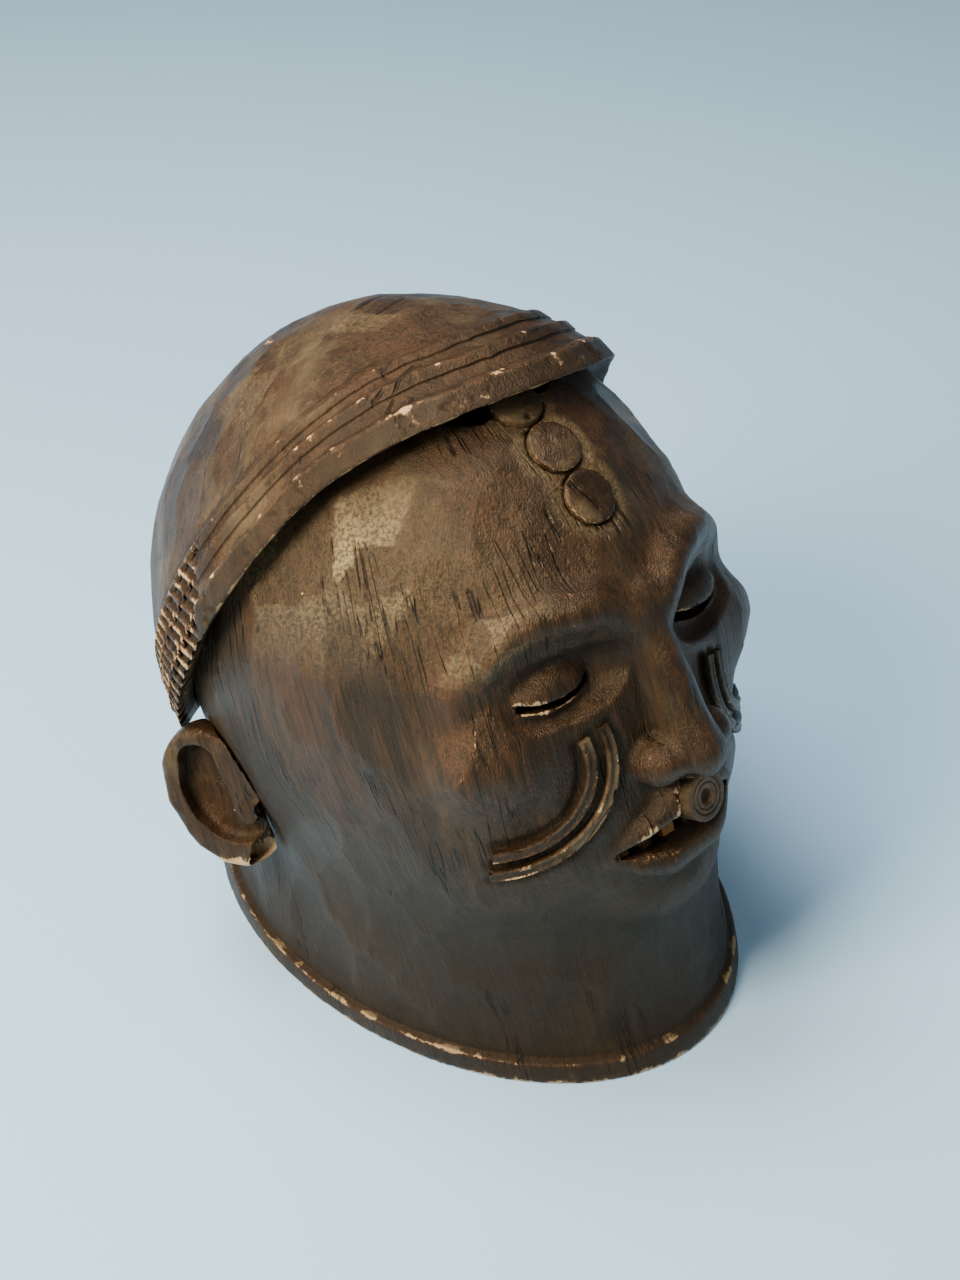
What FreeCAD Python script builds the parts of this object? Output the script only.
import FreeCAD, Part
import math
import os
import Sketcher

# A carved wooden helmet mask: a hollow head that is worn over the wearer's own and stands on its neck rim.
# Row frame: millimetres, +Z up, origin at the centre of the neck opening in the plane of the rim, face towards -Y.
# Head frame: origin at the skull's centre, +Z to the crown, face towards -Y; the whole head leans back by `tilt`.

SIZES = {
    # Skull centre over the neck opening, lean of the head, and the skull's three half-sizes
    "skull_back": 18, "skull_height": 137, "tilt": 22,
    "skull_wide": 98, "skull_deep": 115, "skull_tall": 116,
    # Jaw: a rounder mass low in the front of the head
    "jaw_fore": 44, "jaw_drop": 58, "jaw_wide": 74, "jaw_deep": 64, "jaw_tall": 64,
    # Neck: half-sizes at the rim, at the waist and at the nape, where it runs into the skull
    "rim_wide": 88, "rim_deep": 124, "waist_wide": 86, "waist_deep": 107, "waist_up": 45,
    "nape_wide": 82, "nape_deep": 102, "nape_up": 95, "waist_fore": 2, "neck_run": 20,
    "rim_proud": 3, "rim_tall": 9,
    # Wood left between the outside and the hollow, and the play left round everything that is let in
    "wall": 11, "gap": 0.15,
    # Cap: its thickness, the line of its lower edge seen from the side, and the lap on which it seats
    "cap_thick": 8, "edge_up": 92, "edge_slope": 42, "edge_off": 29, "edge_nape": 24,
    "edge_round": 60, "nape_round": 40, "cap_lap": 12,
    # Band of stepped strips along the cap's edge: width in front and at the side, height of the lowest, step
    "band_front": 25, "band_side": 28, "band_proud": 4, "band_step": 0.9,
    # Inlaid forehead discs, on the midline: height of the lowest as an angle, spacing, and their seats
    "disc_low": 27.5, "disc_pitch": 21.5, "disc_radius": 10, "disc_seat": 4, "disc_proud": 0.8,
    "moat_wide": 3, "moat_depth": 1.2,
    # Lip plug: a turned disc in a blind seat in the upper lip
    "plug_up": -61.5, "plug_radius": 9.5, "plug_proud": 13.5, "plug_seat": 1.5, "plug_pith": 2.2,
    "ring_groove": 0.6, "ring_first": 4.4, "ring_pitch": 2.5,
    # Mouth slot and the row of pegs let into the wood above and below it
    "mouth_up": -74, "mouth_wide": 60, "mouth_tall": 7.5,
    "tooth_wide": 6.2, "tooth_space": 4.2, "tooth_deep": 6, "tooth_root": 4,
    # Raised strips on each cheek: centre and outer radius of the sweep, start and turn, width and spacing
    "sweep_side": 63, "sweep_up": -30, "sweep_radius": 38, "sweep_start": 15, "sweep_turn": 112,
    "strip_wide": 4.3, "strip_space": 3.5, "strip_proud": 2.2, "strip_seat": 1.2,
    # Ears: root on the side of the head, flare away from it, lean back, half-sizes, hollow, lobe and tenon
    "ear_back": 36, "ear_up": -40, "ear_flare": 32, "ear_lean": 9, "ear_reach": 11, "ear_stand": 3,
    "ear_thin": 8, "ear_deep": 20, "ear_tall": 32, "ear_lip": 7, "ear_bowl": 4,
    "lobe_fore": 12, "lobe_drop": 26, "lobe_round": 8,
    "tenon_radius": 7, "tenon_seat": 6, "tenon_long": 11, "tenon_back": 7,
    # Eye slits, cut right through the wall
    "slit_side": 39, "slit_up": -6, "slit_wide": 30, "slit_tall": 2.6,
}

# Rounded masses of the face, each an ellipsoid set against the surface of the skull or the jaw:
# name: (against, distance from the midline, height, stand from the surface, half-width, half-depth,
#        half-height, turn about the vertical, lean)
MASSES = {
    "chin": ("jaw", 0, -100, -5, 26, 19, 19, 0, 0),
    "nose_bridge": ("skull", 0, -19, 1, 9, 10, 34, 0, -12),
    "nose_tip": ("skull", 0, -40, 12, 12.5, 13, 11, 0, 0),
    "nose_wing": ("skull", 12.6, -42, 6.5, 9, 11, 9, 6, 0),
    "brow": ("skull", 37, 17, -1, 27, 8, 6.5, 20, 0),
    "eye_socket": ("skull", 39, -3, 2, 27, 9, 14, 20, 0),
    "eye_lid": ("skull", 39, -3, -13, 20, 13, 11, 20, 0),
    "upper_lip": ("jaw", 0, -67, 0, 32, 9, 6, 0, 0),
    "lower_lip": ("jaw", 0, -82, 1, 29, 10, 7, 0, 0),
    "nostril": ("skull", 7.5, -49, 13, 4, 6, 3, 0, 0),
}
MASS_SIZES = ("side", "up", "stand", "wide", "deep", "tall", "turn", "lean")
TEETH = 6
STRIPS = 3
SIDES = {"right": -1, "left": 1}
LARGE = 260

doc = FreeCAD.newDocument("helmet_mask")
sheet = doc.addObject("Spreadsheet::Sheet", "Sizes")


def fill_sheet():
    """Write every named size into the spreadsheet, one row each, with its name as the alias."""
    values = dict(SIZES)
    for name, (_, *numbers) in MASSES.items():
        values.update({f"{name}_{size}": value for size, value in zip(MASS_SIZES, numbers)})
    values["large"] = LARGE
    for row, (name, value) in enumerate(values.items(), start=1):
        sheet.set(f"A{row}", name)
        sheet.set(f"B{row}", str(value))
        sheet.setAlias(f"B{row}", name)
    doc.recompute()


def size(name):
    return f"Sizes.{name}"


def number_of(expression):
    """The present value of an expression on the sheet."""
    return float(sheet.evalExpression(str(expression)))


HEAD = f"placement(vector(0; {size('skull_back')}; {size('skull_height')}); " \
       f"rotation(vector(-1; 0; 0); {size('tilt')}))"
UPRIGHT = "rotation(vector(0; 0; 1); 0)"
FACING_FRONT = "rotation(vector(1; 0; 0); 90)"
SIDE_VIEW = "rotation(vector(1; 1; 1); 120)"


def in_head(side, back, up, turn=UPRIGHT):
    """Placement of something whose place and turn are given in the head frame."""
    return f"{HEAD} * placement(vector({side}; {back}; {up}); {turn})"


def about(axis, angle):
    return f"rotation(vector({axis}); {angle})"


# ---- plain document objects with their sizes bound to the sheet ----

def add(kind, name, **bound):
    """Add one object and bind each named property, and its placement, to an expression."""
    piece = doc.addObject(kind, name)
    for prop, expression in bound.items():
        piece.setExpression(prop, str(expression))
    return piece


def ellipsoid(name, placement, wide, deep, tall):
    piece = add("Part::Ellipsoid", name, Radius1=tall, Radius2=wide, Radius3=deep, Placement=placement)
    piece.Angle1, piece.Angle2, piece.Angle3 = -90, 90, 360
    return piece


def cylinder(name, placement, radius, height):
    return add("Part::Cylinder", name, Radius=radius, Height=height, Placement=placement)


def box(name, placement, wide, deep, tall):
    return add("Part::Box", name, Length=wide, Width=deep, Height=tall, Placement=placement)


def fuse(name, pieces):
    piece = doc.addObject("Part::MultiFuse", name)
    piece.Shapes = list(pieces)
    return piece


def common(name, pieces):
    piece = doc.addObject("Part::MultiCommon", name)
    piece.Shapes = list(pieces)
    return piece


def cut(name, base, tool):
    piece = doc.addObject("Part::Cut", name)
    piece.Base, piece.Tool = base, tool
    return piece


def joined(name, pieces):
    """Pieces fused one after the other, for rounded masses that run into each other."""
    whole = pieces[0]
    for number, piece in enumerate(pieces[1:]):
        step = doc.addObject("Part::Fuse", f"{name}{number}")
        step.Base, step.Tool = whole, piece
        whole = step
    return whole


def carved(name, base, tools):
    """The base with each tool cut out of it in turn."""
    for number, tool in enumerate(tools):
        base = cut(f"{name}{number}", base, tool)
    return base


def named(piece, label):
    piece.Label = label
    return piece


# ---- the surfaces that everything else is set against ----

def skull(name, grow):
    return ellipsoid(name, in_head(0, 0, 0), *[f"{size('skull_' + axis)} + {grow}"
                                               for axis in ("wide", "deep", "tall")])


def jaw(name, grow):
    placement = in_head(0, f"-{size('jaw_fore')}", f"-{size('jaw_drop')}")
    return ellipsoid(name, placement, *[f"{size('jaw_' + axis)} + {grow}" for axis in ("wide", "deep", "tall")])


def neck(name, grow):
    """The neck: a skin through four ellipses, from below the rim plane up into the skull."""
    sections = (("rim", f"-{size('neck_run')}", 0), ("rim", 0, 0),
                ("waist", size("waist_up"), f"-{size('waist_fore')}"), ("nape", size("nape_up"), 0))
    rings = []
    for number, (where, up, back) in enumerate(sections):
        placement = f"placement(vector(0; {back}; {up}); {about('0; 0; 1', 90)})"
        rings.append(add("Part::Ellipse", f"{name}_ring{number}", Placement=placement,
                         MajorRadius=f"{size(where + '_deep')} + {grow}",
                         MinorRadius=f"{size(where + '_wide')} + {grow}"))
    skin = doc.addObject("Part::Loft", name)
    skin.Sections, skin.Solid, skin.Ruled = rings, True, False
    return skin


def form(name, grow):
    """The head as one mass, larger all round by `grow`."""
    return fuse(name, [skull(f"{name}_skull", grow), jaw(f"{name}_jaw", grow), neck(f"{name}_neck", grow)])


def skull_front(side, up):
    """Depth of the skull's surface in front of its centre, at a place seen from the front."""
    return f"{size('skull_deep')} * sqrt(1 - ({side} / {size('skull_wide')})^2 - ({up} / {size('skull_tall')})^2)"


def jaw_front(side, up):
    drop = f"({up} + {size('jaw_drop')})"
    return f"({size('jaw_fore')} + {size('jaw_deep')} * sqrt(1 - ({side} / {size('jaw_wide')})^2" \
           f" - ({drop} / {size('jaw_tall')})^2))"


FRONTS = {"skull": skull_front, "jaw": jaw_front}


def mass(name, hand=1):
    """One of the face's rounded masses, on the side of the face that `hand` gives."""
    side, up, stand, wide, deep, tall, turn, lean = [size(f"{name}_{key}") for key in MASS_SIZES]
    surface = FRONTS[MASSES[name][0]](side, up)
    turned = f"{about('0; 0; 1', f'{hand} * {turn}')} * {about('1; 0; 0', lean)}"
    placement = in_head(f"{hand} * {side}", f"-({surface} + {stand})", up, turned)
    return ellipsoid(f"{name}_{'left' if hand > 0 else 'right'}", placement, wide, deep, tall)


def masses(names):
    """The named masses: one on the midline, or a pair."""
    return [mass(name, hand) for name in names for hand in ((-1, 1) if MASSES[name][1] else (1,))]


# ---- the line of the cap's edge ----

def below_edge(name, step):
    """Everything under a line `step` band widths above the cap's edge, as a thick slab across the head.

    Seen from the side the line is level over the forehead, falls past the ear and is level again
    at the nape, with both bends rounded.
    """
    rise, off_side = f"{step} * {size('band_front')}", f"{step} * {size('band_side')}"
    top_line, low_line = f"{size('edge_up')} + {rise}", f"{size('edge_nape')} - {off_side}"
    fall_line = f"{size('edge_off')} + {off_side}"
    far, top, low, off = (number_of(line) for line in (size("large"), top_line, f"-({low_line})", fall_line))
    slope = math.radians(number_of(size("edge_slope")))
    round_top, round_low = number_of(size("edge_round")), number_of(size("nape_round"))
    upright = FreeCAD.Vector(0, 0, 1)
    along = FreeCAD.Vector(math.cos(slope), -math.sin(slope), 0)
    bends = [FreeCAD.Vector((off - level * math.cos(slope)) / math.sin(slope), level, 0) for level in (top, low)]
    reach_top, reach_low = round_top * math.tan(slope / 2), round_low * math.tan(slope / 2)
    ends = [FreeCAD.Vector(-far, -far, 0), FreeCAD.Vector(-far, top, 0),
            bends[0] - FreeCAD.Vector(reach_top, 0, 0), bends[0] + along * reach_top,
            bends[1] - along * reach_low, bends[1] + FreeCAD.Vector(reach_low, 0, 0),
            FreeCAD.Vector(far, low, 0), FreeCAD.Vector(far, -far, 0)]
    quarter = math.pi / 2
    arc_top = Part.ArcOfCircle(Part.Circle(ends[2] - FreeCAD.Vector(0, round_top, 0), upright, round_top),
                               quarter - slope, quarter)
    arc_low = Part.ArcOfCircle(Part.Circle(ends[5] + FreeCAD.Vector(0, round_low, 0), upright, round_low),
                               3 * quarter - slope, 3 * quarter)
    front, level, fall, nape, back, base = [Part.LineSegment(ends[first], ends[last]) for first, last in
                                            ((0, 1), (1, 2), (3, 4), (5, 6), (6, 7), (7, 0))]
    sketch = add("Sketcher::SketchObject", f"{name}_outline", Placement=in_head(0, 0, 0, SIDE_VIEW))
    sketch.addGeometry([front, level, arc_top, fall, arc_low, nape, back, base], False)
    for rule in (("Coincident", 0, 2, 1, 1), ("Tangent", 1, 2, 2, 2), ("Tangent", 2, 1, 3, 1),
                 ("Tangent", 3, 2, 4, 1), ("Tangent", 4, 2, 5, 1), ("Coincident", 5, 2, 6, 1),
                 ("Coincident", 6, 2, 7, 1), ("Coincident", 7, 2, 0, 1),
                 ("Vertical", 0), ("Horizontal", 1), ("Horizontal", 5), ("Vertical", 6), ("Horizontal", 7)):
        sketch.addConstraint(Sketcher.Constraint(*rule))
    for label, rule, bound in (
            ("front_far", ("DistanceX", 0, 1, -1, 1, far), size("large")),
            ("base_far", ("DistanceY", 0, 1, -1, 1, far), size("large")),
            ("back_far", ("DistanceX", -1, 1, 6, 1, far), size("large")),
            ("top_up", ("DistanceY", -1, 1, 1, 1, top), top_line),
            ("nape_up", ("DistanceY", 0, 1, 5, 1, far + low), f"{size('large')} - ({low_line})"),
            ("fall_angle", ("Angle", 3, -slope), f"-{size('edge_slope')}"),
            ("fall_off", ("Distance", -1, 1, 3, off), fall_line),
            ("top_round", ("Radius", 2, round_top), size("edge_round")),
            ("low_round", ("Radius", 4, round_low), size("nape_round"))):
        sketch.renameConstraint(sketch.addConstraint(Sketcher.Constraint(*rule)), label)
        sketch.setExpression(f"Constraints.{label}", bound)
    slab = add("Part::Extrusion", name, LengthFwd=f"2 * {size('large')}")
    slab.Base, slab.DirMode, slab.Solid, slab.Symmetric = sketch, "Normal", True, True
    return slab


# ---- sub-parts ----

def build_discs():
    """Discs let into the forehead, the top one running in under the cap; returns them and their pockets."""
    discs, pockets = [], []
    for number, where in enumerate(("lower", "middle", "upper")):
        angle = f"({size('disc_low')} + {number} * {size('disc_pitch')} / {size('skull_deep')} * 180 / pi)"
        lean = f"atan2(cos({angle}) / {size('skull_deep')}; sin({angle}) / {size('skull_tall')})"
        axis = in_head(0, f"-{size('skull_deep')} * cos({angle})", f"{size('skull_tall')} * sin({angle})",
                       about("1; 0; 0", lean))
        down, shallow = [f"{axis} * placement(vector(0; 0; -{size(depth)}); {UPRIGHT})"
                         for depth in ("disc_seat", "moat_depth")]
        limits = [cylinder(f"disc_peg{number}", down, size("disc_radius"), f"2 * {size('disc_seat')}"),
                  skull(f"disc_limit{number}", size("disc_proud"))]
        if where == "upper":
            limits.append(below_edge("disc_edge", f"(-{size('gap')} / {size('band_front')})"))
        discs.append(named(common(f"disc{number}", limits), f"forehead_disc_{where}"))
        pockets.append(cylinder(f"disc_pocket{number}", down, f"{size('disc_radius')} + {size('gap')}",
                                f"2 * {size('disc_seat')}"))
        pockets.append(cylinder(f"disc_moat{number}", shallow, f"{size('disc_radius')} + {size('moat_wide')}",
                                size("disc_seat")))
    return discs, pockets


def build_plug():
    """The lip plug, with turned rings and a pith hollow in its face; returns it and its seat."""
    face = f"-({jaw_front(0, size('plug_up'))} + {size('plug_proud')})"
    length = f"({size('plug_proud')} + {size('plug_seat')})"
    base = in_head(0, f"{face} + {length}", size("plug_up"), FACING_FRONT)
    turned = cylinder("plug_turned", base, size("plug_radius"), length)
    rings = [add("Part::Torus", f"plug_ring{number}", Radius2=size("ring_groove"),
                 Radius1=f"{size('ring_first')} + {number} * {size('ring_pitch')}",
                 Placement=in_head(0, face, size("plug_up"), FACING_FRONT)) for number in range(2)]
    pith = ellipsoid("plug_pith_hollow", in_head(0, face, size("plug_up")), size("plug_pith"),
                     f"2 * {size('ring_groove')}", size("plug_pith"))
    seat = cylinder("plug_seat_bore", base, f"{size('plug_radius')} + {size('gap')}", f"2 * {length}")
    return named(cut("plug", turned, fuse("plug_grooves", [*rings, pith])), "lip_plug"), seat


def build_teeth():
    """The row of pegs across the mouth slot; returns them and their sockets with the slot itself."""
    teeth, pockets = [], []
    pitch = f"({size('tooth_wide')} + {size('tooth_space')})"
    for number in range(TEETH):
        side = f"(({number} - ({TEETH} - 1) / 2) * {pitch})"
        back = f"-({jaw_front(side, size('mouth_up'))} - {size('wall')} / 2)"
        for pieces, play, name in ((teeth, 0, "tooth"), (pockets, size("gap"), "tooth_pocket")):
            wide, deep, tall = [f"({what} + 2 * {play})" for what in (
                size("tooth_wide"), size("tooth_deep"), f"{size('mouth_tall')} + 2 * {size('tooth_root')}")]
            corner = in_head(f"{side} - {wide} / 2", f"{back} - {deep} / 2", f"{size('mouth_up')} - {tall} / 2")
            pieces.append(box(f"{name}_{number + 1}", corner, wide, deep, tall))
    corner = in_head(f"-{size('mouth_wide')} / 2", f"-({jaw_front(0, size('mouth_up'))} + {size('jaw_deep')} / 2)",
                     f"{size('mouth_up')} - {size('mouth_tall')} / 2")
    pockets.append(box("mouth_slot", corner, size("mouth_wide"), size("jaw_deep"), size("mouth_tall")))
    return teeth, pockets


def build_strips():
    """Two curved strips let into each cheek; returns them and their seats."""
    shell = cut("strip_shell", form("strip_face", size("strip_proud")), form("strip_bed", f"(-{size('strip_seat')})"))
    seat_bed = form("strip_seat_bed", f"(-{size('strip_seat')} - {size('gap')})")
    strips, seats = [], []
    for side, hand in SIDES.items():
        start = f"180 - {size('sweep_start')}" if hand > 0 else f"{size('sweep_start')} - {size('sweep_turn')}"
        turn = f"{FACING_FRONT} * {about('0; 0; 1', start)}"
        centre = in_head(f"{hand} * {size('sweep_side')}", 0, size("sweep_up"), turn)
        for number, where in enumerate(("outer", "inner")):
            radius = f"({size('sweep_radius')} - {number} * ({size('strip_wide')} + {size('strip_space')}))"
            for play, kind in ((0, "strip"), (size("gap"), "seat")):
                name = f"cheek_{kind}_{where}_{side}"
                discs = [cylinder(f"{name}_{edge}", centre, extent, size("large")) for edge, extent in (
                    ("rim", f"{radius} + {play}"), ("bore", f"{radius} - {size('strip_wide')} - {play}"))]
                discs[0].setExpression("Angle", size("sweep_turn"))
                ring = cut(f"{name}_ring", *discs)
                if kind == "strip":
                    strips.append(common(name, [ring, shell]))
                else:
                    seats.append(cut(name, ring, seat_bed))
    return strips, seats


def build_ears(clear):
    """Cupped ears on round tenons, clear of the head's surface; returns them and the tenon bores."""
    ears, bores = [], []
    for side, hand in SIDES.items():
        root = f"{hand} * {size('skull_wide')} * sqrt(1 - ({size('ear_back')} / {size('skull_deep')})^2" \
               f" - ({size('ear_up')} / {size('skull_tall')})^2)"
        turned = f"{about('0; 0; 1', f'-{hand} * ' + size('ear_flare'))} * {about('-1; 0; 0', size('ear_lean'))}"
        flared = in_head(root, size("ear_back"), size("ear_up"), turned)

        def in_ear(out, back, up):
            return f"{flared} * placement(vector({hand} * ({out}); {back}; {up}); {UPRIGHT})"

        body = ellipsoid(f"ear_body_{side}", in_ear(size("ear_stand"), size("ear_reach"), 0),
                         *[size(f"ear_{axis}") for axis in ("thin", "deep", "tall")])
        lobe = ellipsoid(f"ear_lobe_{side}", in_ear(size("ear_stand"), f"{size('ear_reach')} - {size('lobe_fore')}",
                                                    f"-{size('lobe_drop')}"), *[size("lobe_round")] * 3)
        bowl = ellipsoid(f"ear_bowl_{side}", in_ear(f"{size('ear_stand')} + {size('ear_thin')}",
                                                    size("ear_reach"), size("ear_bowl")),
                         size("ear_thin"), *[f"{size('ear_' + axis)} - {size('ear_lip')}"
                                             for axis in ("deep", "tall")])
        blade = cut(f"ear_blade_{side}", cut(f"ear_cupped_{side}", fuse(f"ear_mass_{side}", [body, lobe]), bowl),
                    clear)
        inward = about("0; 1; 0", f"-{hand} * 90")
        for play, kind in ((0, "tenon"), (size("gap"), "bore")):
            start = in_head(f"{root} - {hand} * ({size('tenon_seat')} + {play})",
                            f"{size('ear_back')} + {size('tenon_back')}", size("ear_up"),
                            about("0; 1; 0", f"{hand} * 90"))
            peg = cylinder(f"ear_{kind}_{side}", start, f"{size('tenon_radius')} + {play}", size("tenon_long"))
            if kind == "tenon":
                ears.append(named(fuse(f"ear_joined_{side}", [blade, peg]), f"ear_{side}"))
            else:
                bores.append(peg)
    return ears, bores


def build_slits():
    """Eye slits, cut right through the wall."""
    slits = []
    for side, hand in SIDES.items():
        corner = in_head(f"{hand} * {size('slit_side')} - {size('slit_wide')} / 2",
                         f"-{size('skull_deep')} - {size('wall')}", size("slit_up"))
        slits.append(box(f"eye_slit_{side}", corner, size("slit_wide"), size("skull_deep"), size("slit_tall")))
    return slits


def build_head(hollow, pockets):
    """The hollow head: wall, neck rim, face and the lap that carries the cap."""
    slab = [f"2 * {size('large')}"] * 2
    level = "placement(vector(-{0}; -{0}; {1}); " + UPRIGHT + ")"
    rim_slab = box("rim_slab", level.format(size("large"), 0), *slab, size("rim_tall"))
    ground = box("ground", level.format(size("large"), f"-{size('large')}"), *slab, size("large"))
    rim = common("neck_rim", [neck("rim_neck", size("rim_proud")), rim_slab])
    solid = joined("head_mass", [form("outside", 0), rim, *masses(
        ("chin", "nose_bridge", "nose_tip", "nose_wing", "brow", "upper_lip", "lower_lip"))])
    sunk = carved("head_sunk", solid, masses(("eye_socket", "nostril")))
    faced = joined("head_faced", [sunk, *masses(("eye_lid",))])
    lap = below_edge("head_lap", f"(({size('cap_lap')} - {size('gap')}) / {size('band_side')})")
    lapped = common("head_lapped", [faced, lap])
    return named(carved("head", lapped, [hollow, ground, fuse("head_pockets", pockets)]), "head_shell")


def build_cap(hollow, clear):
    """The cap: a dome with stepped strips along its edge, seated over the lap of the head."""
    strips = []
    for step in range(STRIPS):
        share = f"({step + 1} / {STRIPS})"
        proud = f"({size('cap_thick')} + {size('band_proud')} - {step} * {size('band_step')})"
        strips.append(common(f"band_strip{step}", [skull(f"band_skull{step}", proud),
                                                   below_edge(f"band_line{step}", share)]))
    lap = below_edge("cap_lap_line", f"({size('cap_lap')} / {size('band_side')})")
    inside = fuse("cap_inside", [below_edge("cap_edge", 0), common("cap_seat", [clear, lap]), hollow])
    solid = fuse("cap_mass", [skull("cap_dome", size("cap_thick")), *strips])
    return named(cut("cap", solid, inside), "cap_shell")


def main():
    fill_sheet()
    hollow, clear = form("hollow", f"(-{size('wall')})"), form("clear", size("gap"))
    discs, disc_pockets = build_discs()
    plug, plug_seat = build_plug()
    teeth, tooth_pockets = build_teeth()
    strips, strip_seats = build_strips()
    ears, ear_bores = build_ears(clear)
    pockets = [*disc_pockets, plug_seat, *tooth_pockets, *strip_seats, *ear_bores, *build_slits()]
    parts = [build_head(hollow, pockets), build_cap(hollow, clear), *ears, *discs, plug, *teeth, *strips]
    doc.recompute()
    failed = [piece.Name for piece in doc.Objects if {"Invalid", "Error"} & set(piece.State)]
    failed += [piece.Label for piece in parts if piece.Shape.isNull() or not piece.Shape.isValid()]
    if failed:
        raise RuntimeError(f"these objects have no good shape: {', '.join(failed)}")
    os.makedirs("parts", exist_ok=True)
    for piece in parts:
        piece.Shape.exportStep(f"parts/{piece.Label}.step")
        print(piece.Label, len(piece.Shape.Solids), round(piece.Shape.Volume))


main()
